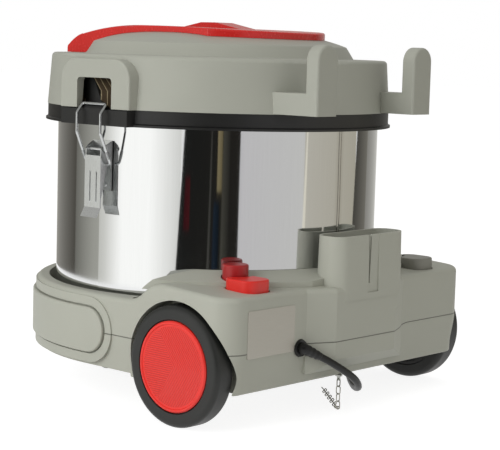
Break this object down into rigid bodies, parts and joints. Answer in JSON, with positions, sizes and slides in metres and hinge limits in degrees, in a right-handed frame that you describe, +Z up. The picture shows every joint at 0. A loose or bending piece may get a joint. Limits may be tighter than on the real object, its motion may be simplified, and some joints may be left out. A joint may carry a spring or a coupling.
{
  "type": "shop vacuum",
  "caption": "Dry canister vacuum: polished steel tank in a moulded trolley, motor head with wire latches, cord hooks, foot buttons and hose inlet.",
  "frame": {"origin": "floor point under the tank's axis, which is the middle of the footprint", "axes": "+Z up, +Y to the rear where the cord comes out, +X to the side with the red foot buttons"},
  "size_m": [0.5241, 0.4194, 0.373],
  "materials": {
    "grey_moulding": "fine spark-eroded texture",
    "head_grey": "fine spark-eroded texture",
    "black_band": "satin",
    "red_cover": "semi-gloss",
    "polished_tank": "mirror-polished stainless steel sheet",
    "inlet_plastic": "satin",
    "seal_rubber": "matt",
    "red_button": "semi-gloss",
    "grey_button": "satin",
    "spring_steel": "drawn wire",
    "zinc_screws": "bright zinc",
    "axle_steel": "turned",
    "tyre_rubber": "satin rubber",
    "wheel_black": "satin",
    "red_cap": "concentric fine grooves",
    "switch_plastic": "satin",
    "latch_plate": "bright nickel-plated sheet",
    "latch_wire": "bright drawn wire",
    "damper_rubber": "matt",
    "motor_housing": "spun sheet",
    "motor_core": "laminated",
    "fan_metal": "pressed sheet",
    "filter_paper": "pleated paper with cream seams",
    "basket_plastic": "satin",
    "filter_cloth": "felted cloth",
    "cord_black": "satin sheath",
    "chain_metal": "dull plated wire"
  },
  "bodies": {
    "trolley": {"base_upper_shell": "grey_moulding", "base_lower_shell": "grey_moulding", "bumper_panel": "grey_moulding", "base_screws": "zinc_screws", "rear_axle": "axle_steel", "axle_clips": "zinc_screws", "foot_switches": "switch_plastic", "tank": "polished_tank", "hose_inlet": "inlet_plastic", "inlet_gasket": "seal_rubber", "inlet_screws": "zinc_screws", "latch_bracket_left": "latch_plate", "latch_bracket_right": "latch_plate", "latch_pins": "latch_plate", "latch_rivets": "latch_plate", "cord_gland": "cord_black", "cord_tube": "cord_black", "cord_coil": "cord_black", "plug": "cord_black", "chain_screw": "zinc_screws", "antistatic_chain": "chain_metal", "pedal_left_spring": "spring_steel", "pedal_right_spring": "spring_steel", "knob_left_spring": "spring_steel", "knob_right_spring": "spring_steel"},
    "head": {"head_band": "black_band", "tank_gasket": "seal_rubber", "head_shell": "head_grey", "head_screws": "zinc_screws", "head_cover": "red_cover", "lower_damper": "damper_rubber", "motor_case": "motor_housing", "motor_stator": "motor_core", "motor_bearings": "motor_core", "exhaust_filter": "filter_paper", "filter_basket": "basket_plastic", "cloth_filter": "filter_cloth"},
    "motor_rotor_body": {"motor_rotor": "motor_core", "fan_wheel": "fan_metal"},
    "rear_wheel_left": {"tyre_left": "tyre_rubber", "wheel_hub_left": "wheel_black", "wheel_cap_left": "red_cap"},
    "caster_left": {"caster_fork_left": "wheel_black", "caster_pin_left": "axle_steel"},
    "caster_roller_left": {"caster_wheel_left": "wheel_black"},
    "pedal_left_body": {"pedal_left": "red_button"},
    "knob_left_body": {"knob_left": "red_button"},
    "latch_left_lever_body": {"latch_lever_left": "latch_plate"},
    "latch_left_bail_body": {"latch_bail_left": "latch_wire"},
    "rear_wheel_right": {"tyre_right": "tyre_rubber", "wheel_hub_right": "wheel_black", "wheel_cap_right": "red_cap"},
    "caster_right": {"caster_fork_right": "wheel_black", "caster_pin_right": "axle_steel"},
    "caster_roller_right": {"caster_wheel_right": "wheel_black"},
    "pedal_right_body": {"pedal_right": "grey_button"},
    "knob_right_body": {"knob_right": "grey_button"},
    "latch_right_lever_body": {"latch_lever_right": "latch_plate"},
    "latch_right_bail_body": {"latch_bail_right": "latch_wire"}
  },
  "joints": [
    {"name": "head_lift", "type": "slide", "parent": "trolley", "child": "head", "axis": [0, 0, 1], "range_m": [0, 0.14]},
    {"name": "motor_spin", "type": "hinge", "parent": "head", "child": "motor_rotor_body", "pos_m": [0, 0, 0.25], "axis": [0, 0, 1], "continuous": true},
    {"name": "rear_wheel_left_spin", "type": "hinge", "parent": "trolley", "child": "rear_wheel_left", "pos_m": [0.17, 0.1263, 0.0567], "axis": [1, 0, 0], "continuous": true},
    {"name": "caster_left_swivel", "type": "hinge", "parent": "trolley", "child": "caster_left", "pos_m": [0.045, -0.125, 0.04], "axis": [0, 0, 1], "continuous": true},
    {"name": "caster_left_roll", "type": "hinge", "parent": "caster_left", "child": "caster_roller_left", "pos_m": [0.045, -0.11, 0.0175], "axis": [1, 0, 0], "continuous": true},
    {"name": "pedal_left_press", "type": "slide", "parent": "trolley", "child": "pedal_left_body", "axis": [0, 0, -1], "range_m": [0, 0.005], "stiffness_N_per_m": 600, "springref_m": -0.004, "deforming": ["pedal_left_spring"]},
    {"name": "knob_left_press", "type": "slide", "parent": "trolley", "child": "knob_left_body", "axis": [0, 0, -1], "range_m": [0, 0.004], "stiffness_N_per_m": 600, "springref_m": -0.004, "deforming": ["knob_left_spring"]},
    {"name": "latch_left_lever", "type": "hinge", "parent": "trolley", "child": "latch_left_lever_body", "pos_m": [0.173, 0.004, 0.248], "axis": [0, -1, 0], "range_deg": [0, 150]},
    {"name": "latch_left_bail", "type": "hinge", "parent": "latch_left_lever_body", "child": "latch_left_bail_body", "pos_m": [0.1705, 0.004, 0.234], "axis": [0, -1, 0], "range_deg": [-250, 0]},
    {"name": "rear_wheel_right_spin", "type": "hinge", "parent": "trolley", "child": "rear_wheel_right", "pos_m": [-0.17, 0.1263, 0.0567], "axis": [1, 0, 0], "continuous": true},
    {"name": "caster_right_swivel", "type": "hinge", "parent": "trolley", "child": "caster_right", "pos_m": [-0.045, -0.125, 0.04], "axis": [0, 0, 1], "continuous": true},
    {"name": "caster_right_roll", "type": "hinge", "parent": "caster_right", "child": "caster_roller_right", "pos_m": [-0.045, -0.11, 0.0175], "axis": [1, 0, 0], "continuous": true},
    {"name": "pedal_right_press", "type": "slide", "parent": "trolley", "child": "pedal_right_body", "axis": [0, 0, -1], "range_m": [0, 0.005], "stiffness_N_per_m": 600, "springref_m": -0.004, "deforming": ["pedal_right_spring"]},
    {"name": "knob_right_press", "type": "slide", "parent": "trolley", "child": "knob_right_body", "axis": [0, 0, -1], "range_m": [0, 0.004], "stiffness_N_per_m": 600, "springref_m": -0.004, "deforming": ["knob_right_spring"]},
    {"name": "latch_right_lever", "type": "hinge", "parent": "trolley", "child": "latch_right_lever_body", "pos_m": [-0.173, 0.004, 0.248], "axis": [0, 1, 0], "range_deg": [0, 150]},
    {"name": "latch_right_bail", "type": "hinge", "parent": "latch_right_lever_body", "child": "latch_right_bail_body", "pos_m": [-0.1705, 0.004, 0.234], "axis": [0, 1, 0], "range_deg": [-250, 0]}
  ],
  "couplings": [
    {"joint": "latch_left_lever", "follows": "head_lift", "rad_per_m": 18.69},
    {"joint": "latch_left_bail", "follows": "head_lift", "rad_per_m": -31.15},
    {"joint": "latch_right_lever", "follows": "head_lift", "rad_per_m": 18.69},
    {"joint": "latch_right_bail", "follows": "head_lift", "rad_per_m": -31.15}
  ]
}
